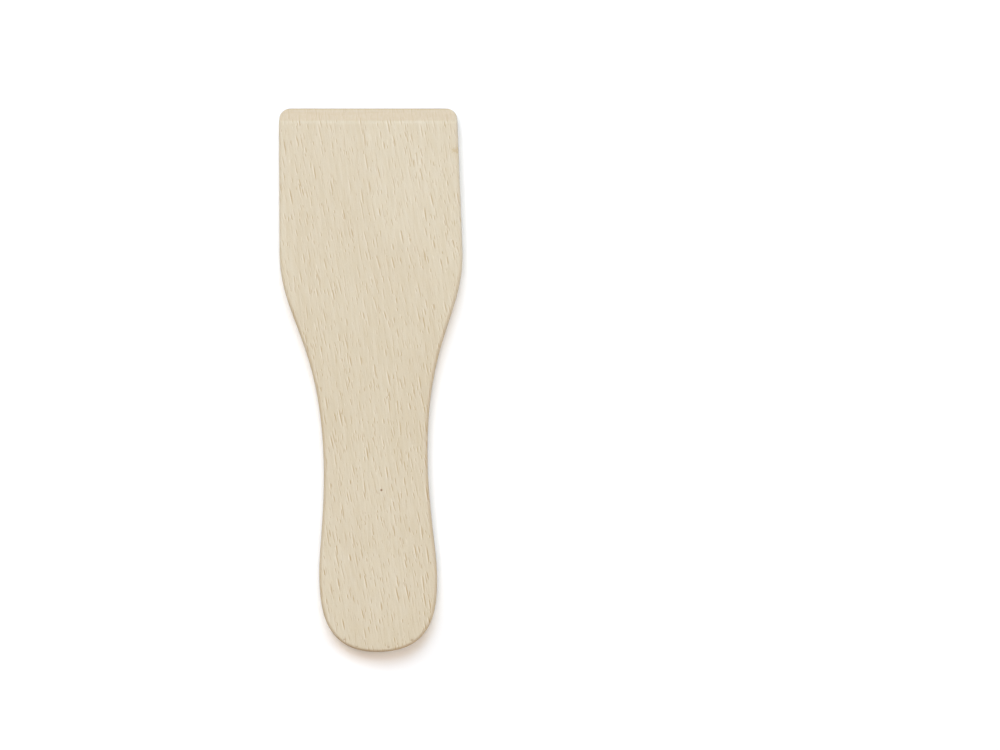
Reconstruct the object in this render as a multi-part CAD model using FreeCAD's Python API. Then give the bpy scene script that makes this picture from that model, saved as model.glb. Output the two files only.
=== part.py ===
"""A flat modelling spatula cut from one piece of beech.

Millimetres, lying on its back face: +Z out of the front face, +Y from the butt to the working edge, and the
origin in the back face under the middle of the bounding box.

The outline is the same on both sides of the axis: a wide blade with nearly straight sides, a waist, a palm
swell and a blunt butt. Only the working edge is out of square. It is bevelled from the front, and every edge
that a hand meets is eased.
"""

import FreeCAD
import Part

import math
import os

# Stretches along the axis, from the working edge to the butt
BLADE_LENGTH = 34.1  # working edge to the widest place
NECK_LENGTH = 51.3  # widest place to the waist
GRIP_LENGTH = 26.2  # waist to the palm swell
BUTT_LENGTH = 18.7  # palm swell to the end

# Full widths where those stretches meet
EDGE_WIDTH = 42.6  # at the working edge, before its corners are rounded
BLADE_WIDTH = 43.8
WAIST_WIDTH = 24.9
PALM_WIDTH = 28.2

# Thicknesses and the working edge
THICKNESS = 5.0
EDGE_THICKNESS = 2.0  # left standing below the bevel
BEVEL_LENGTH = 3.3  # back from the working edge, along the front face
EDGE_SKEW = 1.25  # degrees out of square, with the +X end set back

# Rounding
CORNER_RADIUS = 2.7  # the blade's two corners, seen from the front
RIDGE_RADIUS = 1.3  # where the bevel meets the front face
EASED_RADIUS = 0.75  # all round the front and back faces

# How long each curve keeps the direction it starts with, as a share of its stretch
SHOULDER_HOLD = 0.31  # leaving the blade's side
WAIST_HOLD_NECK = 0.59  # at the waist, towards the blade
WAIST_HOLD_GRIP = 0.42  # at the waist, towards the palm
PALM_HOLD_GRIP = 0.20  # at the palm swell, towards the waist
PALM_HOLD_BUTT = 0.41  # at the palm swell, towards the end
BUTT_FLATNESS = 0.97  # how far across the end stays flat, as a share of the palm's half width

# Places on the axis, counted up from the end of the butt
PALM_Y = BUTT_LENGTH
WAIST_Y = PALM_Y + GRIP_LENGTH
WIDEST_Y = WAIST_Y + NECK_LENGTH
EDGE_Y = WIDEST_Y + BLADE_LENGTH

SLOPE_OF_EDGE = math.tan(math.radians(EDGE_SKEW))
SAME_PLACE = 1e-4  # two heights closer than this are one


def point(x, y, z=0.0):
    """A point in millimetres."""
    return FreeCAD.Vector(x, y, z)


def side_direction(side):
    """The unit direction of the blade's straight side, down towards the waist. side is 1 for +X, -1 for -X."""
    run = point(side * (BLADE_WIDTH - EDGE_WIDTH) / 2, -BLADE_LENGTH)
    return run.normalize()


def blade_corner(side):
    """Where the blade's straight side meets the skewed working edge."""
    widest = point(side * BLADE_WIDTH / 2, WIDEST_Y)
    along = side_direction(side)
    short_of_edge = widest.y - (EDGE_Y - SLOPE_OF_EDGE * widest.x)
    steps = short_of_edge / (along.y + SLOPE_OF_EDGE * along.x)
    return widest - along * steps


def curve(*poles):
    """One cubic curve through its first and last pole."""
    bezier = Part.BezierCurve()
    bezier.setPoles(list(poles))
    return bezier.toShape()


def side_edges(side):
    """The outline's edges on one side, from the working edge down to the end of the butt."""
    corner = blade_corner(side)
    widest = point(side * BLADE_WIDTH / 2, WIDEST_Y)
    waist = point(side * WAIST_WIDTH / 2, WAIST_Y)
    palm = point(side * PALM_WIDTH / 2, PALM_Y)
    end = point(0, 0)
    neck = curve(
        widest,
        widest + side_direction(side) * SHOULDER_HOLD * NECK_LENGTH,
        waist + point(0, WAIST_HOLD_NECK * NECK_LENGTH),
        waist,
    )
    grip = curve(
        waist,
        waist - point(0, WAIST_HOLD_GRIP * GRIP_LENGTH),
        palm + point(0, PALM_HOLD_GRIP * GRIP_LENGTH),
        palm,
    )
    butt = curve(
        palm,
        palm - point(0, PALM_HOLD_BUTT * BUTT_LENGTH),
        end + point(side * BUTT_FLATNESS * PALM_WIDTH / 2, 0),
        end,
    )
    blade = Part.makeLine(corner, widest)
    return [blade, neck, grip, butt]


def blank():
    """The plate before it is bevelled: the outline at full thickness, with the blade's corners rounded."""
    working_edge = Part.makeLine(blade_corner(-1), blade_corner(1))
    outline = Part.sortEdges([working_edge] + side_edges(1) + side_edges(-1))[0]
    plate = Part.Face(Part.Wire(outline)).extrude(point(0, 0, THICKNESS))
    corners = [
        edge
        for edge in plate.Edges
        if is_upright(edge) and is_blade_corner(edge.CenterOfMass)
    ]
    return plate.makeFillet(CORNER_RADIUS, corners)


def is_upright(edge):
    """Whether an edge stands straight up through the plate."""
    box = edge.BoundBox
    return box.XLength < SAME_PLACE and box.YLength < SAME_PLACE


def is_blade_corner(place):
    """Whether a place is over one of the blade's two corners."""
    over = point(place.x, place.y)
    return any(over.distanceToPoint(blade_corner(side)) < SAME_PLACE for side in (1, -1))


def bevel_waste():
    """The wedge that the bevel takes off, along the whole working edge."""
    drop = THICKNESS - EDGE_THICKNESS
    beyond = 1.0  # how far the wedge runs on past the wood, as a multiple of the bevel
    section = [
        point(0, -BEVEL_LENGTH, THICKNESS),
        point(0, beyond * BEVEL_LENGTH, EDGE_THICKNESS - beyond * drop),
        point(0, beyond * BEVEL_LENGTH, THICKNESS),
    ]
    face = Part.Face(Part.makePolygon(section + section[:1]))
    face.translate(point(-BLADE_WIDTH, 0))
    wedge = face.extrude(point(2 * BLADE_WIDTH, 0))
    wedge.rotate(point(0, 0), point(0, 0, 1), -EDGE_SKEW)
    wedge.translate(point(0, EDGE_Y))
    return wedge


def is_ridge(edge):
    """Whether an edge is the line where the bevel meets the front face."""
    box = edge.BoundBox
    flat = box.ZMin > THICKNESS - SAME_PLACE
    straight = isinstance(edge.Curve, Part.Line)
    return flat and straight and box.XLength > EDGE_WIDTH / 2


def is_wall(face):
    """Whether a face stands straight up, as the sawn outline does."""
    first_u, last_u, first_v, last_v = face.ParameterRange
    normal = face.normalAt((first_u + last_u) / 2, (first_v + last_v) / 2)
    return abs(normal.z) < SAME_PLACE


def rim_edges(solid):
    """Every edge between the sawn outline and the faces above and below it."""
    rims = []
    for wall in filter(is_wall, solid.Faces):
        rims.extend(edge for edge in wall.Edges if not is_upright(edge))
    return rims


def beech_spatula():
    """The whole tool, moved so that its box stands centred on the origin."""
    bevelled = blank().cut(bevel_waste())
    ridged = bevelled.makeFillet(RIDGE_RADIUS, list(filter(is_ridge, bevelled.Edges)))
    eased = ridged.makeFillet(EASED_RADIUS, rim_edges(ridged))
    box = eased.optimalBoundingBox(False)
    eased.translate(point(-box.Center.x, -box.Center.y))
    return eased


os.makedirs("parts", exist_ok=True)
beech_spatula().exportStep("parts/beech_spatula.step")
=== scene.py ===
"""A flat beech modelling spatula, lying on its back on a white studio table.

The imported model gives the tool's size and place. This script models the sanded piece of wood that stands for
it, dresses it in solid beech, and sets up the table, the light and the camera. Lengths are in metres.
"""

import logging
import math
from collections.abc import Callable
from dataclasses import dataclass, field
from enum import Enum
from itertools import accumulate

import bmesh
import bpy
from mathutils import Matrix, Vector, geometry, noise


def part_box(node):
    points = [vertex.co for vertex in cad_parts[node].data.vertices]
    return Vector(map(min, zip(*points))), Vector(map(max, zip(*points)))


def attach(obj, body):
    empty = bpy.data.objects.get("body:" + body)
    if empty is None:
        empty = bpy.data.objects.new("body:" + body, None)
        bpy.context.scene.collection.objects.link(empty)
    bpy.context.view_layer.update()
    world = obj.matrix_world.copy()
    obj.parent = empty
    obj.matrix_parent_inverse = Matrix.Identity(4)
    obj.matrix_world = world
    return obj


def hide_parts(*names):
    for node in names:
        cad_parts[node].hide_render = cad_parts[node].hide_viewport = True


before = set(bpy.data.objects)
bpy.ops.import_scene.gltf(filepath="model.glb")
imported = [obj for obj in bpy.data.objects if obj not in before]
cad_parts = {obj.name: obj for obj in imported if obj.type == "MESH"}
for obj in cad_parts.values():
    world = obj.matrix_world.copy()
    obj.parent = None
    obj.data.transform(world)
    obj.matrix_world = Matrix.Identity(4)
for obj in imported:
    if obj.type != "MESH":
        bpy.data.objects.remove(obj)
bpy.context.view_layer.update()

MM = 0.001
NODE = "beech_spatula"
UP = Vector((0.0, 0.0, 1.0))
OFF_FACE = (0.0, 0.07)
ON_WALL = (0.5, 0.95)

Triple = tuple[float, float, float]
Colour = tuple[float, float, float, float]
Verts = list[bmesh.types.BMVert]

log = logging.getLogger("spatula")


# ---------------------------------------------------------------------------------------------------------
# The shape
# ---------------------------------------------------------------------------------------------------------


@dataclass(frozen=True)
class BevelProfile:
    """The front face in section, square to the working edge: the flat, the ridge and the bevel.

    Attributes:
        thickness: The board's full thickness.
        edge_thickness: What the bevel leaves standing at the working edge.
        length: How far the bevel runs back along the front face.
        ridge_radius: How far the line between the bevel and the flat is rounded over.
    """

    thickness: float
    edge_thickness: float = 2.0 * MM
    length: float = 3.3 * MM
    ridge_radius: float = 1.3 * MM

    @property
    def pitch(self) -> float:
        """The bevel's angle from the flat, in radians."""
        return math.atan2(self.thickness - self.edge_thickness, self.length)

    def short_of_flat(self, back: float) -> float:
        """How far a place this far behind the working edge is short of the flat, or 0 on the flat."""
        flat_from = self.length + self.ridge_radius * math.tan(self.pitch / 2)
        return max(flat_from - back, 0.0)

    def height(self, back: float, inset: float = 0.0) -> float:
        """The height of the front face, or of the surface that lies a little way inside it.

        Args:
            back: Distance behind the working edge.
            inset: How far inside the front face the surface lies.

        Returns:
            The height above the back face.
        """
        radius = self.ridge_radius - inset
        arc_centre = self.thickness - self.ridge_radius
        short = self.short_of_flat(back)
        arc_reach = radius * math.sin(self.pitch)
        if short <= arc_reach:
            return arc_centre + math.sqrt(radius**2 - short**2)
        return arc_centre + radius * math.cos(self.pitch) - (short - arc_reach) * math.tan(self.pitch)

    def lean(self, back: float, inset: float = 0.0) -> float:
        """How far the front face leans towards the working edge there, in radians."""
        radius = self.ridge_radius - inset
        return math.asin(min(self.short_of_flat(back) / radius, math.sin(self.pitch)))


@dataclass(frozen=True)
class Stop:
    """One place on the sawn outline.

    Attributes:
        foot: Where the wall stands, at the height of the back face.
        facing: The way the wall faces there.
    """

    foot: Vector
    facing: Vector


@dataclass(frozen=True)
class Outline:
    """The sawn outline, seen from the front. Places on the axis count up from the end of the butt.

    Attributes:
        low: The lowest corner of the tool's box.
        high: The highest corner of the tool's box.
        butt_length: From the end of the butt to the palm swell.
        grip_length: From the palm swell to the waist.
        neck_length: From the waist to the widest place.
        edge_width: The blade at its working edge, as if its corners were sharp.
        blade_width: The blade at its widest place.
        waist_width: The handle at its narrowest.
        palm_width: The handle at its widest.
        corner_radius: Rounding of the blade's corners.
        edge_skew: How far the working edge is out of square.
        shoulder_hold: How long the neck's curve keeps the blade's way, as a share of the neck.
        waist_hold_neck: How long it keeps the waist's way, as a share of the neck.
        waist_hold_grip: How long the grip's curve keeps the waist's way, as a share of the grip.
        palm_hold_grip: How long it keeps the palm's way, as a share of the grip.
        palm_hold_butt: How long the butt's curve keeps the palm's way, as a share of the butt.
        butt_flatness: How long it keeps the end's way, as a share of half the palm.
        drawn_step: How close together the outline's points are.
    """

    low: Vector
    high: Vector
    butt_length: float = 18.7 * MM
    grip_length: float = 26.2 * MM
    neck_length: float = 51.3 * MM
    edge_width: float = 42.6 * MM
    blade_width: float = 43.8 * MM
    waist_width: float = 24.9 * MM
    palm_width: float = 28.2 * MM
    corner_radius: float = 2.7 * MM
    edge_skew: float = math.radians(1.25)
    shoulder_hold: float = 0.31
    waist_hold_neck: float = 0.59
    waist_hold_grip: float = 0.42
    palm_hold_grip: float = 0.20
    palm_hold_butt: float = 0.41
    butt_flatness: float = 0.97
    drawn_step: float = 0.1 * MM

    @property
    def edge_facing(self) -> Vector:
        """The way the working edge faces."""
        return Vector((math.sin(self.edge_skew), math.cos(self.edge_skew), 0.0))

    @property
    def edge_middle(self) -> Vector:
        """Where the working edge crosses the axis."""
        rise = math.tan(self.edge_skew) * (self.edge_width / 2 - self.corner_radius)
        return Vector((0.0, self.high.y - rise, 0.0))

    def behind_edge(self, place: Vector) -> float:
        """How far a place is behind the working edge, square to it."""
        return (self.edge_middle - place).dot(self.edge_facing)

    def stations(self, side: int) -> tuple[Vector, Vector, Vector, Vector, Vector]:
        """The five places that one side of the outline is drawn between.

        Args:
            side: 1 for the +X side, -1 for the -X side.

        Returns:
            The blade's corner, the widest place, the waist, the palm swell and the end of the butt.
        """
        end = Vector((0.0, self.low.y, 0.0))
        palm = end + Vector((side * self.palm_width / 2, self.butt_length, 0.0))
        waist = Vector((side * self.waist_width / 2, palm.y + self.grip_length, 0.0))
        widest = Vector((side * self.blade_width / 2, waist.y + self.neck_length, 0.0))
        taper = side * (self.edge_width - self.blade_width) / 2
        up_side = Vector((taper, self.edge_middle.y - widest.y, 0.0)).normalized()
        corner = widest + up_side * (self.behind_edge(widest) / up_side.dot(self.edge_facing))
        return corner, widest, waist, palm, end

    def side_line(self, side: int) -> list[Vector]:
        """Draws one side, from just under the blade's rounded corner to the end of the butt.

        Args:
            side: 1 for the +X side, -1 for the -X side.

        Returns:
            Close points down that side.
        """
        corner, widest, waist, palm, end = self.stations(side)
        down_blade = (widest - corner).normalized()
        along = Vector((0.0, 1.0, 0.0))
        across = Vector((side * self.butt_flatness * self.palm_width / 2, 0.0, 0.0))
        line = self.straight(self.corner_arc(side)[-1], widest)
        line += self.curve(
            widest,
            widest + down_blade * self.shoulder_hold * self.neck_length,
            waist + along * self.waist_hold_neck * self.neck_length,
            waist,
        )
        line += self.curve(
            waist,
            waist - along * self.waist_hold_grip * self.grip_length,
            palm + along * self.palm_hold_grip * self.grip_length,
            palm,
        )
        line += self.curve(palm, palm - along * self.palm_hold_butt * self.butt_length, end + across, end)
        return line

    def corner_arc(self, side: int) -> list[Vector]:
        """Draws one of the blade's corners, from the working edge to the blade's side.

        Args:
            side: 1 for the +X side, -1 for the -X side.

        Returns:
            Close points round that corner.
        """
        corner, widest = self.stations(side)[:2]
        along_edge = side * Vector((-self.edge_facing.y, self.edge_facing.x, 0.0))
        down_side = (widest - corner).normalized()
        half_angle = along_edge.angle(down_side) / 2
        inward = (along_edge + down_side).normalized()
        centre = corner + inward * self.corner_radius / math.sin(half_angle)
        tangent_run = self.corner_radius / math.tan(half_angle)
        first = corner + along_edge * tangent_run - centre
        last = corner + down_side * tangent_run - centre
        steps = round(first.angle(last) * self.corner_radius / self.drawn_step)
        turned = [first.slerp(last, step / steps) for step in range(steps + 1)]
        return [centre + spoke.normalized() * self.corner_radius for spoke in turned]

    def straight(self, start: Vector, end: Vector) -> list[Vector]:
        """Close points after start on a straight line, up to end."""
        steps = round((end - start).length / self.drawn_step)
        return [start.lerp(end, step / steps) for step in range(1, steps + 1)]

    def curve(self, start: Vector, hold: Vector, next_hold: Vector, end: Vector) -> list[Vector]:
        """Close points after start on a cubic curve, up to end."""
        steps = round((end - start).length / self.drawn_step)
        return list(geometry.interpolate_bezier(start, hold, next_hold, end, steps + 1))[1:]

    def walk(self) -> list[Stop]:
        """Walks all the way round, turning left, from the +X end of the working edge.

        Returns:
            Close stops, the last one next to the first.
        """
        right_arc = self.corner_arc(1)
        left_arc = self.corner_arc(-1)
        feet = self.straight(right_arc[0], left_arc[0])[:-1] + left_arc + self.side_line(-1)
        feet += self.side_line(1)[-2::-1] + right_arc[::-1]
        stops = []
        for before, foot, after in zip(feet[-1:] + feet[:-1], feet, feet[1:] + feet[:1]):
            onward = (after - before).normalized()
            stops.append(Stop(foot, Vector((onward.y, -onward.x, 0.0))))
        return stops


@dataclass(frozen=True)
class MeshSteps:
    """How closely the mesh follows the wood.

    Attributes:
        across: Cells across the blade, and so across the butt.
        fine: Length of a cell by the working edge, where the ridge needs it.
        coarse: Length of a cell everywhere else.
        fine_reach: How far back the short cells go.
        round_cells: Cells round each eased edge.
        wall_cells: Cells down the wall between them.
        relax_passes: How often the faces' cells are evened out.
    """

    across: int = 96
    fine: float = 0.22 * MM
    coarse: float = 0.5 * MM
    fine_reach: float = 6.0 * MM
    round_cells: int = 6
    wall_cells: int = 6
    relax_passes: int = 12


class RimPart(Enum):
    """The stretches that the wood turns through from its front face to its back face."""

    FRONT_ROUND = "front round"
    WALL = "wall"
    BACK_ROUND = "back round"


class Corner(Enum):
    """The four corners of the face grids, by the way the outline faces there, in degrees from +X."""

    BLADE_RIGHT = 45
    BLADE_LEFT = 135
    BUTT_LEFT = 225
    BUTT_RIGHT = 315


@dataclass(frozen=True)
class Dent:
    """A small bruise or chip in the wood, seen from the front.

    Attributes:
        x: Its middle, across the tool.
        y: Its middle, along the tool.
        radius: How far it reaches.
        depth: How deep it is.
    """

    x: float
    y: float
    radius: float
    depth: float


PIN_KNOT = Dent(1.25 * MM, -26.6 * MM, 0.45 * MM, 0.10 * MM)
BUTT_CHIPS = (
    Dent(2.1 * MM, -64.2 * MM, 0.6 * MM, 0.10 * MM),
    Dent(7.8 * MM, -62.7 * MM, 0.7 * MM, 0.12 * MM),
    Dent(-5.4 * MM, -63.9 * MM, 0.4 * MM, 0.06 * MM),
    Dent(-8.4 * MM, -62.2 * MM, 0.5 * MM, 0.06 * MM),
)


@dataclass
class SpatulaBody:
    """The one piece of wood: sawn to the outline, bevelled, eased all round and hand sanded.

    Attributes:
        outline: The sawn outline.
        bevel: The front face in section.
        steps: How closely the mesh follows them.
        eased_radius: Rounding of the edges between the wall and the two faces.
        sanding_depth: How far hand sanding has worn the surface in its deepest places.
        sanding_pitch: How far apart those places are.
        grain_lean: How far the grain leans from the tool's axis, towards -X at the blade.
        handled_from: How far behind the working edge the hand starts to brown the edges.
        handled_to: How far behind it they have browned fully.
        rubbed_reach: How far back the working edge has browned from use.
        rubbed_fade: Over how much of that reach it fades.
        least_browned: How much the blade's edges have browned, as a share of the handle's.
        wall_spared: How much less the walls have browned than the eased edges.
    """

    outline: Outline
    bevel: BevelProfile
    steps: MeshSteps = field(default_factory=MeshSteps)
    eased_radius: float = 0.75 * MM
    sanding_depth: float = 0.02 * MM
    sanding_pitch: float = 9.0 * MM
    grain_lean: float = math.radians(6.2)
    handled_from: float = 32.0 * MM
    handled_to: float = 50.0 * MM
    rubbed_reach: float = 0.45 * MM
    rubbed_fade: float = 0.35 * MM
    least_browned: float = 0.25
    wall_spared: float = 0.4

    def build(self) -> bpy.types.Object:
        """Models the piece.

        Returns:
            The object, linked to the scene, with its place in its mesh.
        """
        stops = self.place_stops()
        bm = bmesh.new()
        layer = bm.verts.layers.int.new("stop")
        ring = bmesh.ops.create_circle(bm, segments=len(stops), radius=1.0)["verts"]
        for number, vert in enumerate(ring):
            vert[layer] = number
        self.move_ring(ring, stops, RimPart.FRONT_ROUND, 0.0)
        front = self.fill_face(bm, ring)
        for part, cells in (
            (RimPart.FRONT_ROUND, self.steps.round_cells),
            (RimPart.WALL, self.steps.wall_cells),
            (RimPart.BACK_ROUND, self.steps.round_cells),
        ):
            for cell in range(1, cells + 1):
                ring = self.grow_ring(bm, ring, layer)
                self.move_ring(ring, stops, part, cell / cells)
        back = self.fill_face(bm, ring)
        bmesh.ops.recalc_face_normals(bm, faces=bm.faces)
        self.even_out(bm, front, lambda co: self.bevel.height(self.outline.behind_edge(co)))
        self.even_out(bm, back, lambda co: 0.0)
        self.wear(bm)
        self.mark_edges(bm)
        bm.verts.layers.int.remove(layer)
        self.order_faces(bm)
        return self.finished(bm)

    def place_stops(self) -> list[Stop]:
        """Chooses the stops that the mesh uses, so that each face can be filled with a grid.

        Returns:
            The stops, round from the blade's right corner, turning left.
        """
        walk = self.outline.walk()
        corners = {corner: self.nearest_stop(walk, corner) for corner in Corner}
        down = self.cell_shares()
        up = [1.0 - share for share in reversed(down)]
        even = [cell / self.steps.across for cell in range(self.steps.across + 1)]
        stops = []
        for start, end, shares in (
            (Corner.BLADE_RIGHT, Corner.BLADE_LEFT, even),
            (Corner.BLADE_LEFT, Corner.BUTT_LEFT, down),
            (Corner.BUTT_LEFT, Corner.BUTT_RIGHT, even),
            (Corner.BUTT_RIGHT, Corner.BLADE_RIGHT, up),
        ):
            stretch = cyclic_slice(walk, corners[start], corners[end])
            stops += spaced(stretch, shares[:-1])
        return stops

    def nearest_stop(self, walk: list[Stop], corner: Corner) -> int:
        """Finds a corner of the face grids on the outline.

        Args:
            walk: Close stops all the way round.
            corner: The corner to find.

        Returns:
            The number of the stop that faces most nearly that corner's way.
        """
        angle = math.radians(corner.value)
        way = Vector((math.cos(angle), math.sin(angle), 0.0))
        return max(range(len(walk)), key=lambda number: walk[number].facing.dot(way))

    def cell_shares(self) -> list[float]:
        """Spaces the cells down a side: short by the bevel, longer after it.

        Returns:
            Where the cells end, as shares of the side's length, from 0 to 1.
        """
        length = (self.outline.high - self.outline.low).y
        ends = [0.0]
        while ends[-1] < length:
            past = min(max(ends[-1] / self.steps.fine_reach - 1.0, 0.0), 1.0)
            ends.append(ends[-1] + self.steps.fine + (self.steps.coarse - self.steps.fine) * past)
        return [end / ends[-1] for end in ends]

    def rim_point(self, stop: Stop, part: RimPart, share: float) -> Vector:
        """A point on the eased rim, where a ball of the eased radius would touch it.

        Args:
            stop: The place on the outline.
            part: The stretch of the rim.
            share: How far through that stretch, from front to back.

        Returns:
            The point.
        """
        radius = self.eased_radius
        centre = stop.foot - stop.facing * radius
        behind = self.outline.behind_edge(centre)
        front_centre = centre + UP * self.bevel.height(behind, radius)
        back_centre = centre + UP * radius
        if part is RimPart.FRONT_ROUND:
            lean = self.bevel.lean(behind, radius)
            front_way = self.outline.edge_facing * math.sin(lean) + UP * math.cos(lean)
            return front_centre + front_way.slerp(stop.facing, share) * radius
        if part is RimPart.WALL:
            return front_centre.lerp(back_centre, share) + stop.facing * radius
        return back_centre + stop.facing.slerp(-UP, share) * radius

    def move_ring(self, ring: Verts, stops: list[Stop], part: RimPart, share: float) -> None:
        """Moves a ring of vertices to its place on the rim."""
        for vert, stop in zip(ring, stops):
            vert.co = self.rim_point(stop, part, share)

    def grow_ring(self, bm: bmesh.types.BMesh, ring: Verts, layer: bmesh.types.BMLayerItem) -> Verts:
        """Extrudes a ring's edges.

        Args:
            bm: The mesh.
            ring: The ring's vertices, in order.
            layer: Holds each vertex's number in its ring.

        Returns:
            The new ring's vertices, in the same order.
        """
        grown = bmesh.ops.extrude_edge_only(bm, edges=ring_edges(bm, ring))["geom"]
        fresh = [item for item in grown if isinstance(item, bmesh.types.BMVert)]
        return sorted(fresh, key=lambda vert: vert[layer])

    def fill_face(self, bm: bmesh.types.BMesh, ring: Verts) -> set[bmesh.types.BMVert]:
        """Fills a ring with a grid of cells between its two long sides.

        Args:
            bm: The mesh.
            ring: The ring's vertices, in order, from the blade's right corner.

        Returns:
            The vertices inside the ring.
        """
        edges = ring_edges(bm, ring)
        across = self.steps.across
        down = len(ring) // 2 - across
        left = edges[across : across + down]
        right = edges[2 * across + down :]
        filled = bmesh.ops.grid_fill(bm, edges=left + right, mat_nr=0, use_smooth=True)["faces"]
        return {vert for cell in filled for vert in cell.verts} - set(ring)

    def even_out(
        self, bm: bmesh.types.BMesh, inside: set[bmesh.types.BMVert], height: Callable[[Vector], float]
    ) -> None:
        """Evens out the cells inside a face, and puts them at the face's height.

        Args:
            bm: The mesh.
            inside: The face's vertices, without its ring.
            height: Gives the face's height at a place.
        """
        verts = list(inside)
        for _ in range(self.steps.relax_passes):
            bmesh.ops.smooth_vert(bm, verts=verts, factor=0.5, use_axis_x=True, use_axis_y=True)
        for vert in verts:
            vert.co.z = height(vert.co)

    def wear(self, bm: bmesh.types.BMesh) -> None:
        """Wears the surface as hand sanding and use do, always inwards, so that the tool keeps its size.

        Args:
            bm: The mesh.
        """
        bm.normal_update()
        moves = []
        for vert in bm.verts:
            wave = 0.5 + 0.5 * noise.noise(vert.co / self.sanding_pitch)
            depth = self.sanding_depth * min(max(wave, 0.0), 1.0)
            for dent in (PIN_KNOT, *BUTT_CHIPS):
                reach = math.hypot(vert.co.x - dent.x, vert.co.y - dent.y) / dent.radius
                on_front = vert.co.z > self.bevel.thickness / 2
                if reach < 1.0 and on_front:
                    depth += dent.depth * (1.0 - reach**2) ** 2
            moves.append(vert.normal * -depth)
        for vert, move in zip(bm.verts, moves):
            vert.co += move
            vert.co.z = max(vert.co.z, 0.0)

    def mark_edges(self, bm: bmesh.types.BMesh) -> None:
        """Writes three shares for the finish, from 0 to 1, at every vertex.

        end_grain is how squarely the surface cuts across the fibres. steep is 0 on the two faces and 1 on the
        walls. handled is how far the eased edges and the walls have browned: little along the blade, fully
        round the handle and at the working edge.

        Args:
            bm: The mesh.
        """
        bm.normal_update()
        fibres = Vector((-math.sin(self.grain_lean), math.cos(self.grain_lean), 0.0))
        end_grain = bm.verts.layers.float.new("end_grain")
        handled = bm.verts.layers.float.new("handled")
        steep = bm.verts.layers.float.new("steep")
        for vert in bm.verts:
            vert[end_grain] = abs(vert.normal.dot(fibres))
            steepness = 1.0 - abs(vert.normal.z)
            vert[steep] = steepness
            behind = self.outline.behind_edge(vert.co)
            held = smooth_share(behind, self.handled_from, self.handled_to)
            rubbed = smooth_share(self.rubbed_reach - behind, 0.0, self.rubbed_fade)
            off_face = smooth_share(steepness, *OFF_FACE)
            on_wall = smooth_share(steepness, *ON_WALL)
            browning = off_face * (1.0 - self.wall_spared * on_wall)
            use = self.least_browned + (1.0 - self.least_browned) * max(held, rubbed)
            vert[handled] = browning * use

    def order_faces(self, bm: bmesh.types.BMesh) -> None:
        """Numbers the faces by their vertices, because the operators add them in no fixed order.

        Args:
            bm: The mesh.
        """
        bm.verts.index_update()
        in_order = sorted(bm.faces, key=lambda face: [vert.index for vert in face.verts])
        for number, face in enumerate(in_order):
            face.index = number
        bm.faces.sort()

    def finished(self, bm: bmesh.types.BMesh) -> bpy.types.Object:
        """Puts the mesh in an object of its own, shaded smooth.

        Args:
            bm: The mesh, which is freed.

        Returns:
            The object, linked to the scene.
        """
        mesh = bpy.data.meshes.new("spatula_body")
        bm.to_mesh(mesh)
        bm.free()
        mesh.shade_smooth()
        body = bpy.data.objects.new("spatula_body", mesh)
        bpy.context.scene.collection.objects.link(body)
        return body

    def dress(self, piece: bpy.types.Object, finish: "BeechFinish") -> None:
        """Gives the piece its wood, with the grain leaning as the piece's does."""
        piece.data.materials.append(finish.material(self.grain_lean, self.bevel.thickness))


def smooth_share(value: float, start: float, end: float) -> float:
    """A smooth step from 0 at start to 1 at end."""
    share = min(max((value - start) / (end - start), 0.0), 1.0)
    return share * share * (3.0 - 2.0 * share)


def ring_edges(bm: bmesh.types.BMesh, ring: Verts) -> list[bmesh.types.BMEdge]:
    """The edges between the vertices of a closed ring, in order."""
    return [bm.edges.get(pair) for pair in zip(ring, ring[1:] + ring[:1])]


def cyclic_slice(walk: list[Stop], start: int, end: int) -> list[Stop]:
    """The stops of a closed walk from one number to another, both included."""
    return walk[start : end + 1] if start < end else walk[start:] + walk[: end + 1]


def spaced(stretch: list[Stop], shares: list[float]) -> list[Stop]:
    """Stops at given shares of a stretch's length.

    Args:
        stretch: Close stops along it.
        shares: Rising shares, from 0 to below 1.

    Returns:
        One stop for each share.
    """
    runs = [(after.foot - before.foot).length for before, after in zip(stretch, stretch[1:])]
    reached = [0.0, *accumulate(runs)]
    chosen = []
    number = 0
    for share in shares:
        wanted = share * reached[-1]
        while reached[number + 1] < wanted:
            number += 1
        part = (wanted - reached[number]) / runs[number]
        before, after = stretch[number], stretch[number + 1]
        facing = before.facing.lerp(after.facing, part).normalized()
        chosen.append(Stop(before.foot.lerp(after.foot, part), facing))
    return chosen


# ---------------------------------------------------------------------------------------------------------
# The wood
# ---------------------------------------------------------------------------------------------------------

Socket = bpy.types.NodeSocket
Feed = Socket | float | tuple[float, ...]
Sockets = dict[str, Socket]


class Kind(Enum):
    """The kinds of socket that the groups have."""

    VALUE = "NodeSocketFloat"
    VECTOR = "NodeSocketVector"
    COLOUR = "NodeSocketColor"


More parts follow.
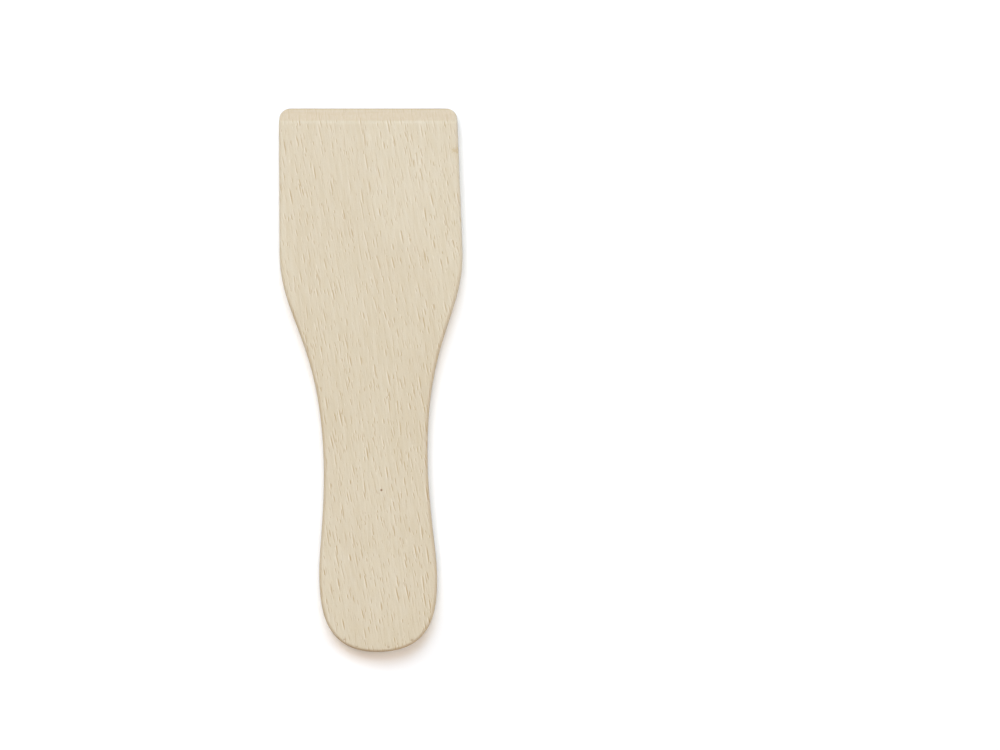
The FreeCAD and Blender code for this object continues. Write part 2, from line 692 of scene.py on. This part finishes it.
@dataclass
class Wiring:
    """Adds nodes to one tree, and feeds their sockets with other sockets or plain values."""

    tree: bpy.types.NodeTree

    def add(
        self, kind: str, feeds: dict[str | int, Feed] | None = None, **settings: object
    ) -> bpy.types.Node:
        """Adds a node.

        Args:
            kind: The node's type, without its ShaderNode prefix.
            feeds: Socket or plain value for each input, by the input's name or number.
            settings: Properties set on the node itself.

        Returns:
            The node.
        """
        node = self.tree.nodes.new("ShaderNode" + kind)
        for name, value in settings.items():
            setattr(node, name, value)
        for key, value in (feeds or {}).items():
            self.feed(node.inputs[key], value)
        return node

    def feed(self, socket: Socket, value: Feed) -> None:
        """Feeds one input.

        Args:
            socket: The input.
            value: The socket to link to it, or the plain value to set it to.
        """
        if isinstance(value, Socket):
            self.tree.links.new(value, socket)
        else:
            socket.default_value = value

    def math(
        self, operation: str, first: Feed, second: Feed = 0.0, third: Feed = 0.0, clamp: bool = False
    ) -> Socket:
        """One sum on up to three values."""
        feeds = {0: first, 1: second, 2: third}
        return self.add("Math", feeds, operation=operation, use_clamp=clamp).outputs[0]

    def vector(self, operation: str, first: Feed, second: Feed) -> Socket:
        """One sum on two vectors that gives a vector."""
        return self.add("VectorMath", {0: first, 1: second}, operation=operation).outputs["Vector"]

    def join(self, x: Feed, y: Feed, z: Feed) -> Socket:
        """A vector from three values."""
        return self.add("CombineXYZ", {0: x, 1: y, 2: z}).outputs[0]

    def split(self, vector: Socket) -> tuple[Socket, Socket, Socket]:
        """The three values of a vector."""
        return tuple(self.add("SeparateXYZ", {0: vector}).outputs)

    def fade(
        self, value: Socket, start: float, end: float, low: float = 0.0, high: float = 1.0
    ) -> Socket:
        """Turns a value into a smooth step from low at start to high at end."""
        feeds = {"Value": value, 1: start, 2: end, 3: low, 4: high}
        return self.add("MapRange", feeds, interpolation_type="SMOOTHSTEP").outputs[0]

    def noise(self, vector: Socket, detail: float, roughness: float = 0.5) -> Socket:
        """Noise about 0, from roughly -0.5 to 0.5."""
        feeds = {"Vector": vector, "Scale": 1.0, "Detail": detail, "Roughness": roughness}
        return self.math("SUBTRACT", self.add("TexNoise", feeds).outputs[0], 0.5)

    def tint(self, share: Feed, below: Feed, above: Feed) -> Socket:
        """Mixes from one colour to another."""
        node = self.add("Mix", {0: share, 6: below, 7: above}, data_type="RGBA")
        return node.outputs[2]

    def group(self, tree: bpy.types.NodeTree, feeds: dict[str, Feed]) -> Sockets:
        """Places a node group.

        Args:
            tree: The group.
            feeds: Socket or plain value for each of its inputs, by name.

        Returns:
            Its outputs by name.
        """
        node = self.add("Group", node_tree=tree)
        for name, value in feeds.items():
            self.feed(node.inputs[name], value)
        return {socket.name: socket for socket in node.outputs}


def node_group(
    name: str, inputs: dict[str, Kind], outputs: dict[str, Kind]
) -> tuple[Wiring, Sockets, Sockets]:
    """Starts a shader node group with named sockets.

    Args:
        name: The group's name.
        inputs: The kind of each input, by name.
        outputs: The kind of each output, by name.

    Returns:
        The wiring of its tree, its input sockets by name and its output sockets by name.
    """
    tree = bpy.data.node_groups.new(name, "ShaderNodeTree")
    for socket, kind in inputs.items():
        tree.interface.new_socket(socket, in_out="INPUT", socket_type=kind.value)
    for socket, kind in outputs.items():
        tree.interface.new_socket(socket, in_out="OUTPUT", socket_type=kind.value)
    wiring = Wiring(tree)
    start = tree.nodes.new("NodeGroupInput").outputs
    end = tree.nodes.new("NodeGroupOutput").inputs
    given = {socket: start[socket] for socket in inputs}
    out = {socket: end[socket] for socket in outputs}
    return wiring, given, out


def grain_space_group(lean: float) -> bpy.types.NodeTree:
    """The wood's own directions, in millimetres: across the fibres, along them, and into the board.

    Args:
        lean: How far the fibres lean from the tool's axis, in radians.

    Returns:
        The group.
    """
    to_millimetres = (1.0 / MM,) * 3
    wander_pitch = (0.035, 0.018, 0.05)
    wander = 1.6
    w, given, out = node_group("grain space", {"Vector": Kind.VECTOR}, {"Vector": Kind.VECTOR})
    turn = {"Vector": given["Vector"], "Rotation": (0.0, 0.0, -lean), "Scale": to_millimetres}
    turned = w.add("Mapping", turn).outputs[0]
    drift = w.noise(w.vector("MULTIPLY", turned, wander_pitch), 1.0)
    push = w.join(w.math("MULTIPLY", drift, wander), 0.0, 0.0)
    w.feed(out["Vector"], w.vector("ADD", turned, push))
    return w.tree


def ray_flecks_group() -> bpy.types.NodeTree:
    """Beech's ray flecks: slender pointed spindles along the fibres, and a painted highlight beside each.

    Returns:
        The group. Its lengths are in millimetres.
    """
    ray_depth = 14.0
    seed_across = 7.31
    seed_along = 3.17
    shortest = 0.5
    length_range = 0.9
    slimmest = 0.7
    width_range = 0.6
    least_lean = -0.025
    lean_range = 0.13
    faintest = 0.25
    painted_highlight_beside = 1.9
    w, given, out = node_group(
        "ray flecks",
        {
            "Vector": Kind.VECTOR,
            "Seed": Kind.VALUE,
            "Spacing Across": Kind.VALUE,
            "Spacing Along": Kind.VALUE,
            "Half Width": Kind.VALUE,
            "Half Length": Kind.VALUE,
        },
        {"Fleck": Kind.VALUE, "Painted Highlight": Kind.VALUE},
    )
    cell = w.join(given["Spacing Across"], given["Spacing Along"], ray_depth)
    seed = given["Seed"]
    shift = w.join(w.math("MULTIPLY", seed, seed_across), w.math("MULTIPLY", seed, seed_along), seed)
    place = w.vector("ADD", w.vector("DIVIDE", given["Vector"], cell), shift)
    rays = w.add("TexVoronoi", {"Vector": place, "Scale": 1.0, "Randomness": 1.0})
    away = w.vector("SUBTRACT", place, rays.outputs["Position"])
    across, along, _ = w.split(w.vector("MULTIPLY", away, cell))
    length_draw, lean_draw, depth_draw = w.split(rays.outputs["Color"])
    longer = w.math("MULTIPLY_ADD", length_draw, length_range, shortest)
    half_length = w.math("MULTIPLY", given["Half Length"], longer)
    wider = w.math("MULTIPLY_ADD", depth_draw, width_range, slimmest)
    half_width = w.math("MULTIPLY", given["Half Width"], wider)
    lean = w.math("MULTIPLY_ADD", lean_draw, lean_range, least_lean)
    leaning = w.math("ADD", across, w.math("MULTIPLY", along, lean))
    taper = w.math("SUBTRACT", 1.0, w.math("POWER", w.math("DIVIDE", along, half_length), 2.0))
    strength = w.math("MULTIPLY_ADD", w.math("POWER", depth_draw, 2.0), 1.0 - faintest, faintest)
    # The second mask is a painted highlight: a pale stripe on one side of each fleck, where light would catch
    # its sunken hollow.
    for name, beside in (("Fleck", 0.0), ("Painted Highlight", painted_highlight_beside)):
        offset = w.math("ADD", leaning, w.math("MULTIPLY", half_width, beside))
        spread = w.math("DIVIDE", w.math("ABSOLUTE", offset), half_width)
        inside = w.fade(w.math("SUBTRACT", taper, spread), -0.15, 0.55)
        w.feed(out[name], w.math("MULTIPLY", inside, strength))
    return w.tree


def fibre_group() -> bpy.types.NodeTree:
    """Fine fibre streaks, broad drifts, pores, and streaks of a warmer or a greyer hue.

    Returns:
        The group. Each output is noise about 0.
    """
    w, given, out = node_group(
        "fibres",
        {"Vector": Kind.VECTOR},
        {"Streak": Kind.VALUE, "Drift": Kind.VALUE, "Pores": Kind.VALUE, "Hue": Kind.VALUE},
    )
    for name, pitch, detail, roughness in (
        ("Streak", (2.1, 0.16, 0.9), 3.0, 0.6),
        ("Drift", (0.11, 0.05, 0.12), 2.0, 0.5),
        ("Pores", (5.5, 2.4, 5.0), 2.0, 0.5),
        ("Hue", (1.1, 0.35, 0.6), 2.0, 0.6),
    ):
        stretched = w.vector("MULTIPLY", given["Vector"], pitch)
        w.feed(out[name], w.noise(stretched, detail, roughness))
    return w.tree


def growth_rings_group() -> bpy.types.NodeTree:
    """The thin dark line that ends each year's growth. The rings lie nearly flat in this board.

    Returns:
        The group. Its lengths are in millimetres.
    """
    ring_spacing = 1.9
    cup_radius = 160.0
    sway_pitch = (0.05, 0.02, 0.1)
    sway_reach = 2.4
    late_wood_from = 0.45
    year_ends = 0.93
    w, given, out = node_group("growth rings", {"Vector": Kind.VECTOR}, {"Line": Kind.VALUE})
    across, _, depth = w.split(given["Vector"])
    cup = w.math("DIVIDE", w.math("MULTIPLY", across, across), 2.0 * cup_radius)
    drift = w.noise(w.vector("MULTIPLY", given["Vector"], sway_pitch), 1.0)
    sway = w.math("MULTIPLY", drift, sway_reach)
    radius = w.math("ADD", w.math("ADD", depth, cup), sway)
    year = w.math("FRACT", w.math("DIVIDE", radius, ring_spacing))
    rise = w.fade(year, late_wood_from, year_ends)
    fall = w.fade(year, year_ends, 1.0, 1.0, 0.0)
    w.feed(out["Line"], w.math("MULTIPLY", rise, fall))
    return w.tree


def small_mark_group() -> bpy.types.NodeTree:
    """One soft-edged mark at a place on the wood, with its own reach along each axis.

    Returns:
        The group.
    """
    ragged_pitch = (1.0 / (0.4 * MM),) * 3
    solid_within = 0.35
    w, given, out = node_group(
        "small mark",
        {"Vector": Kind.VECTOR, "Place": Kind.VECTOR, "Reach": Kind.VECTOR, "Raggedness": Kind.VALUE},
        {"Mask": Kind.VALUE},
    )
    away = w.vector("DIVIDE", w.vector("SUBTRACT", given["Vector"], given["Place"]), given["Reach"])
    distance = w.add("VectorMath", {0: away}, operation="LENGTH").outputs["Value"]
    ragged = w.noise(w.vector("MULTIPLY", given["Vector"], ragged_pitch), 2.0)
    edge = w.math("MULTIPLY_ADD", ragged, given["Raggedness"], distance)
    w.feed(out["Mask"], w.fade(edge, 1.0, solid_within))
    return w.tree


def linear(level: int) -> float:
    """One channel of a screen colour, 0 to 255, as an amount of light from 0 to 1."""
    share = level / 255
    return share / 12.92 if share <= 0.04045 else ((share + 0.055) / 1.055) ** 2.4


def srgb(red: int, green: int, blue: int) -> Colour:
    """A colour given as it looks on screen, 0 to 255, as the shader wants it."""
    return (linear(red), linear(green), linear(blue), 1.0)


@dataclass(frozen=True)
class Mark:
    """A stain on the wood.

    Attributes:
        place: Its middle.
        reach: How far it reaches each way.
        colour: Its colour.
        strength: How far it hides the wood, from 0 to 1.
        raggedness: How uneven its outline is.
    """

    place: Triple
    reach: Triple
    colour: Colour
    strength: float
    raggedness: float


@dataclass(frozen=True)
class FleckSet:
    """One set of ray flecks, all of a size. Its lengths are in millimetres.

    Attributes:
        seed: Sets its places apart from the other sets'.
        across: How far apart the flecks are across the fibres.
        along: How far apart they are along the fibres.
        half_width: Half a middling fleck's width.
        half_length: Half its length.
    """

    seed: float
    across: float
    along: float
    half_width: float
    half_length: float


@dataclass(frozen=True)
class BeechFinish:
    """Pale European beech, fine sanded and left bare.

    Attributes:
        pale: The palest fibres.
        deep: The deepest fibres.
        fleck: The ray flecks.
        painted_highlight: The painted highlight beside each fleck, where light would catch its hollow.
        straw: The warmer streaks.
        browned: The wood where hands and use have browned it.
        end_wood: The wood where it is cut across its fibres.
        ring: The line that ends each year's growth.
        knot: The pin knot.
        bruise: The bruised place on the blade's side.
        chip: The chips at the end of the butt.
        roughness: How matt the bare wood is.
        specular: How strongly it reflects.
        bump_height: How deep its pores and flecks are.
        fleck_sets: The overlapping sets of ray flecks.
    """

    pale: Colour = srgb(208, 198, 179)
    deep: Colour = srgb(188, 173, 144)
    fleck: Colour = srgb(166, 139, 98)
    # Painted highlight colour, laid on one side of each fleck.
    painted_highlight: Colour = srgb(226, 217, 201)
    straw: Colour = srgb(206, 190, 159)
    browned: Colour = srgb(152, 110, 54)
    end_wood: Colour = srgb(194, 167, 137)
    ring: Colour = srgb(176, 152, 118)
    knot: Colour = srgb(118, 76, 46)
    bruise: Colour = srgb(178, 152, 108)
    chip: Colour = srgb(140, 106, 70)
    roughness: float = 0.62
    specular: float = 0.3
    bump_height: float = 0.008 * MM
    fleck_sets: tuple[FleckSet, ...] = (
        FleckSet(1.0, 2.1, 6.2, 0.14, 2.0),
        FleckSet(5.0, 2.5, 6.9, 0.13, 1.6),
        FleckSet(9.0, 1.05, 3.0, 0.09, 1.0),
    )

    def marks(self, top: float) -> tuple[Mark, ...]:
        """The pin knot, the bruised place on the blade's side and the butt's chips.

        Args:
            top: The height of the front face.

        Returns:
            The marks, in the order that they are laid on the wood.
        """
        knot_place = (PIN_KNOT.x, PIN_KNOT.y, top)
        bruise_place = (21.0 * MM, 54.4 * MM, top - 1.0 * MM)
        marks = [
            Mark(knot_place, (0.36 * MM, 0.40 * MM, 1.0 * MM), self.knot, 0.8, 0.3),
            Mark(bruise_place, (1.7 * MM, 1.1 * MM, 2.5 * MM), self.bruise, 0.45, 1.6),
        ]
        for chip in BUTT_CHIPS:
            place = (chip.x, chip.y, top - 0.4 * MM)
            reach = (0.8 * chip.radius, 0.7 * chip.radius, 1.2 * MM)
            marks.append(Mark(place, reach, self.chip, 0.42, 0.9))
        return tuple(marks)

    def material(self, grain_lean: float, thickness: float) -> bpy.types.Material:
        """Builds the wood as a solid, so that faces, walls and end grain all cut through the same fibres.

        Args:
            grain_lean: How far the fibres lean from the tool's axis, in radians.
            thickness: The board's thickness.

        Returns:
            The material.
        """
        material = bpy.data.materials.new("beech")
        material.use_nodes = True
        material.node_tree.nodes.clear()
        w = Wiring(material.node_tree)
        place = w.add("TexCoord").outputs["Object"]
        grain = w.group(grain_space_group(grain_lean), {"Vector": place})["Vector"]
        fibres = w.group(fibre_group(), {"Vector": grain})
        shares = {
            name: w.add("Attribute", attribute_name=name).outputs["Fac"]
            for name in ("end_grain", "handled", "steep")
        }
        flecks = self.flecks(w, grain, shares)
        colour = self.fibre_colour(w, place, fibres)
        colour = self.figured(w, colour, place, grain, flecks, shares)
        colour = self.aged(w, colour, shares)
        colour = self.marked(w, colour, place, thickness)
        gloss = w.math("MULTIPLY_ADD", flecks["Fleck"], -0.12, self.roughness)
        feeds = {
            "Base Color": colour,
            "Roughness": w.math("MULTIPLY_ADD", fibres["Streak"], 0.16, gloss),
            "Normal": self.relief(w, fibres, flecks),
            "IOR": 1.45,
            "Specular IOR Level": self.specular,
        }
        shader = w.add("BsdfPrincipled", feeds)
        w.add("OutputMaterial", {"Surface": shader.outputs[0]})
        return material

    def fibre_colour(self, w: Wiring, place: Socket, fibres: Sockets) -> Socket:
        """Colours the plain wood: pale and deep fibres, with warmer streaks.

        Args:
            w: The material's wiring.
            place: The place on the tool.
            fibres: The fibre group's outputs.

        Returns:
            The colour.
        """
        tone = w.math("MULTIPLY_ADD", fibres["Streak"], 1.15, 0.38)
        tone = w.math("MULTIPLY_ADD", fibres["Drift"], 0.05, tone)
        tone = w.math("MULTIPLY_ADD", fibres["Pores"], 0.55, tone)
        tone = w.math("ADD", tone, self.board_tone(w, place), clamp=True)
        hue = w.math("MULTIPLY_ADD", fibres["Hue"], 1.6, 0.4, clamp=True)
        return w.tint(w.math("MULTIPLY", hue, 0.38), w.tint(tone, self.pale, self.deep), self.straw)

    def board_tone(self, w: Wiring, place: Socket) -> Socket:
        """Shifts the board's tone along the tool: paler at the blade, deeper towards the end of the butt.

        Args:
            w: The material's wiring.
            place: The place on the tool.

        Returns:
            The shift, below 0 where the wood is paler.
        """
        _, along, _ = w.split(place)
        blade = w.fade(along, 0.0, 55.0 * MM, 0.06, -0.09)
        grip = w.fade(along, -10.0 * MM, -26.0 * MM, 0.0, -0.10)
        butt = w.fade(along, -50.0 * MM, -66.0 * MM, 0.0, 0.09)
        return w.math("ADD", blade, w.math("ADD", grip, butt))

    def flecks(self, w: Wiring, grain: Socket, shares: Sockets) -> Sockets:
        """Overlaps the sets of ray flecks, the strongest showing at any place.

        They show on faces that run along the fibres, and less where the wood is cut across them.

        Args:
            w: The material's wiring.
            grain: The place in the wood's own directions.
            shares: The mesh's shares by name.

        Returns:
            The masks of the flecks and of the slivers beside them.
        """
        tree = ray_flecks_group()
        on_face = w.fade(shares["end_grain"], 0.35, 0.7, 1.0, 0.5)
        shown = w.math("MULTIPLY", on_face, w.fade(shares["steep"], 0.2, 0.8, 1.0, 0.25))
        masks = {}
        for rays in self.fleck_sets:
            feeds = {
                "Vector": grain,
                "Seed": rays.seed,
                "Spacing Across": rays.across,
                "Spacing Along": rays.along,
                "Half Width": rays.half_width,
                "Half Length": rays.half_length,
            }
            for name, mask in w.group(tree, feeds).items():
                masks[name] = w.math("MAXIMUM", masks[name], mask) if name in masks else mask
        return {name: w.math("MULTIPLY", mask, shown) for name, mask in masks.items()}

    def figured(
        self, w: Wiring, colour: Socket, place: Socket, grain: Socket, flecks: Sockets, shares: Sockets
    ) -> Socket:
        """Lays the growth rings, the painted highlights beside the flecks and the ray flecks on the plain
        wood.

        Args:
            w: The material's wiring.
            colour: The colour so far.
            place: The place on the tool.
            grain: The place in the wood's own directions.
            flecks: The masks of the flecks and the painted highlights.
            shares: The mesh's shares by name.

        Returns:
            The colour with them.
        """
        rings = w.group(growth_rings_group(), {"Vector": grain})["Line"]
        ring_showing = w.fade(shares["steep"], 0.2, 0.8, 0.07, 0.40)
        colour = w.tint(w.math("MULTIPLY", rings, ring_showing), colour, self.ring)
        # Painted highlight: a paler stripe laid beside each fleck, standing for light catching the side of its
        # hollow.
        colour = w.tint(w.math("MULTIPLY", flecks["Painted Highlight"], 0.45, clamp=True), colour, self.painted_highlight)
        _, along, _ = w.split(place)
        fleck_showing = w.fade(along, 20.0 * MM, -60.0 * MM, 0.64, 0.80)
        return w.tint(w.math("MULTIPLY", flecks["Fleck"], fleck_showing, clamp=True), colour, self.fleck)

    def aged(self, w: Wiring, colour: Socket, shares: Sockets) -> Socket:
        """Deepens the end grain, and browns the edges where hands and use have.

        Args:
            w: The material's wiring.
            colour: The colour so far.
            shares: The mesh's shares by name.

        Returns:
            The colour with them.
        """
        cut = shares["end_grain"]
        handled = shares["handled"]
        colour = w.tint(w.fade(cut, 0.35, 0.70, 0.0, 0.36), colour, self.end_wood)
        across_ends = w.math("MULTIPLY", w.fade(cut, 0.75, 1.0), handled)
        colour = w.tint(w.math("MULTIPLY", handled, 0.24), colour, self.browned)
        return w.tint(w.math("MULTIPLY", across_ends, 0.40), colour, self.browned)

    def marked(self, w: Wiring, colour: Socket, place: Socket, thickness: float) -> Socket:
        """Lays the knot, the bruise and the chips on the wood.

        Args:
            w: The material's wiring.
            colour: The colour so far.
            place: The place on the tool.
            thickness: The board's thickness.

        Returns:
            The colour with them.
        """
        tree = small_mark_group()
        for mark in self.marks(thickness):
            feeds = {
                "Vector": place,
                "Place": mark.place,
                "Reach": mark.reach,
                "Raggedness": mark.raggedness,
            }
            mask = w.group(tree, feeds)["Mask"]
            colour = w.tint(w.math("MULTIPLY", mask, mark.strength), colour, mark.colour)
        return colour

    def relief(self, w: Wiring, fibres: Sockets, flecks: Sockets) -> Socket:
        """Raises the fibres and sinks the pores and flecks, by a few thousandths of a millimetre.

        Args:
            w: The material's wiring.
            fibres: The fibre group's outputs.
            flecks: The masks of the flecks and the painted highlights.

        Returns:
            The normal.
        """
        sunk = w.math("MULTIPLY", flecks["Fleck"], -0.5)
        height = w.math("MULTIPLY_ADD", fibres["Pores"], 0.6, sunk)
        height = w.math("MULTIPLY_ADD", fibres["Streak"], 0.5, height)
        feeds = {"Height": height, "Distance": self.bump_height, "Strength": 1.0}
        return w.add("Bump", feeds).outputs[0]


# ---------------------------------------------------------------------------------------------------------
# The studio
# ---------------------------------------------------------------------------------------------------------


@dataclass(frozen=True)
class SoftBox:
    """A square soft light.

    Attributes:
        name: What it is called in the scene.
        place: Where it hangs, from the tool's origin.
        side: The side of the square.
        watts: Its power.
        colour: The colour of its light.
    """

    name: str
    place: Triple
    side: float
    watts: float
    colour: Triple

    def hang(self) -> None:
        """Adds the light, facing the tool."""
        data = bpy.data.lights.new(self.name, "AREA")
        data.shape = "SQUARE"
        data.size = self.side
        data.energy = self.watts
        data.color = self.colour
        lamp = bpy.data.objects.new(self.name, data)
        lamp.location = self.place
        lamp.rotation_euler = (-Vector(self.place)).to_track_quat("-Z", "Y").to_euler()
        bpy.context.scene.collection.objects.link(lamp)


@dataclass(frozen=True)
class Studio:
    """A white table, six soft lights with the strongest beyond the working edge, and an overhead camera.

    Attributes:
        view_width: How wide a strip of table the camera sees, at the height of the front face.
        aim: The middle of the view, from the tool's origin, across and up the picture.
        roll: How far the picture is turned from the tool's axis.
        lens: The camera's focal length, in millimetres.
        sensor: The width of its sensor, in millimetres.
        table_side: The side of the square table top.
        table_colour: The table top's colour.
        table_roughness: How matt the table top is.
        table_specular: How strongly it reflects.
        air: The faint even light that fills the room.
        backdrop: What the camera sees past the table.
        lights: The soft lights.
    """

    view_width: float = 239.34 * MM
    aim: tuple[float, float] = (30.23 * MM, 0.98 * MM)
    roll: float = math.radians(1.255)
    lens: float = 200.0
    sensor: float = 36.0
    table_side: float = 1.1
    table_colour: Colour = (0.93, 0.93, 0.93, 1.0)
    table_roughness: float = 0.9
    table_specular: float = 0.1
    air: Colour = (0.03, 0.03, 0.03, 1.0)
    backdrop: Colour = (1.0, 1.0, 1.0, 1.0)
    lights: tuple[SoftBox, ...] = (
        SoftBox("key_softbox", (0.0, 0.86, 1.23), 0.9, 15.6, (0.62, 0.82, 1.0)),
        SoftBox("window_softbox", (-0.98, 0.98, 0.56), 0.9, 10.2, (0.83, 0.95, 1.0)),
        SoftBox("high_left_softbox", (-0.61, 0.61, 1.23), 0.9, 4.7, (1.0, 0.83, 0.79)),
        SoftBox("overhead_softbox", (0.0, 0.0, 1.60), 0.9, 7.6, (1.0, 0.76, 0.62)),
        SoftBox("right_softbox", (1.39, 0.0, 0.56), 0.9, 9.4, (0.93, 0.96, 1.0)),
        SoftBox("fill_softbox", (0.0, -0.86, 1.23), 0.9, 5.7, (1.0, 0.92, 0.74)),
    )

    def build(self, height: float) -> None:
        """Sets up the table, the lights and the camera.

        Args:
            height: The height of the tool's front face.
        """
        self.lay_table()
        for light in self.lights:
            light.hang()
        self.fill_air()
        bpy.context.scene.view_settings.view_transform = "Standard"
        self.set_camera(height)

    def fill_air(self) -> None:
        """Lights the room faintly and evenly, in front of a backdrop that only the camera sees."""
        world = bpy.data.worlds.new("studio_air")
        world.use_nodes = True
        w = Wiring(world.node_tree)
        seen = w.add("LightPath").outputs["Is Camera Ray"]
        colour = w.tint(seen, self.air, self.backdrop)
        w.feed(world.node_tree.nodes["Background"].inputs["Color"], colour)
        bpy.context.scene.world = world

    def lay_table(self) -> None:
        """Lays the table top under the tool."""
        bm = bmesh.new()
        bmesh.ops.create_grid(bm, x_segments=1, y_segments=1, size=self.table_side / 2)
        mesh = bpy.data.meshes.new("table_top")
        bm.to_mesh(mesh)
        bm.free()
        material = bpy.data.materials.new("table_white")
        material.use_nodes = True
        shader = material.node_tree.nodes["Principled BSDF"]
        shader.inputs["Base Color"].default_value = self.table_colour
        shader.inputs["Roughness"].default_value = self.table_roughness
        shader.inputs["Specular IOR Level"].default_value = self.table_specular
        mesh.materials.append(material)
        table = bpy.data.objects.new("table_top", mesh)
        bpy.context.scene.collection.objects.link(table)

    def set_camera(self, height: float) -> None:
        """Puts the camera straight overhead, at the distance that gives the wanted view.

        Args:
            height: The height of the tool's front face.
        """
        data = bpy.data.cameras.new("overhead_camera")
        data.lens = self.lens
        data.sensor_width = self.sensor
        camera = bpy.data.objects.new("overhead_camera", data)
        right = Vector((math.cos(self.roll), -math.sin(self.roll), 0.0))
        upwards = Vector((math.sin(self.roll), math.cos(self.roll), 0.0))
        distance = self.view_width * self.lens / self.sensor
        camera.location = right * self.aim[0] + upwards * self.aim[1] + UP * (height + distance)
        camera.rotation_euler = (0.0, 0.0, -self.roll)
        bpy.context.scene.collection.objects.link(camera)
        bpy.context.scene.camera = camera


def main() -> None:
    """Builds the studio and the spatula."""
    logging.basicConfig(level=logging.INFO, format="%(name)s: %(message)s")
    low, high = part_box(NODE)
    thickness = high.z - low.z
    Studio().build(high.z)
    body = SpatulaBody(Outline(low, high), BevelProfile(thickness))
    piece = body.build()
    body.dress(piece, BeechFinish())
    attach(piece, "root")
    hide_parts(NODE)
    log.info("%s: %d faces", piece.name, len(piece.data.polygons))


if __name__ == "__main__":
    main()
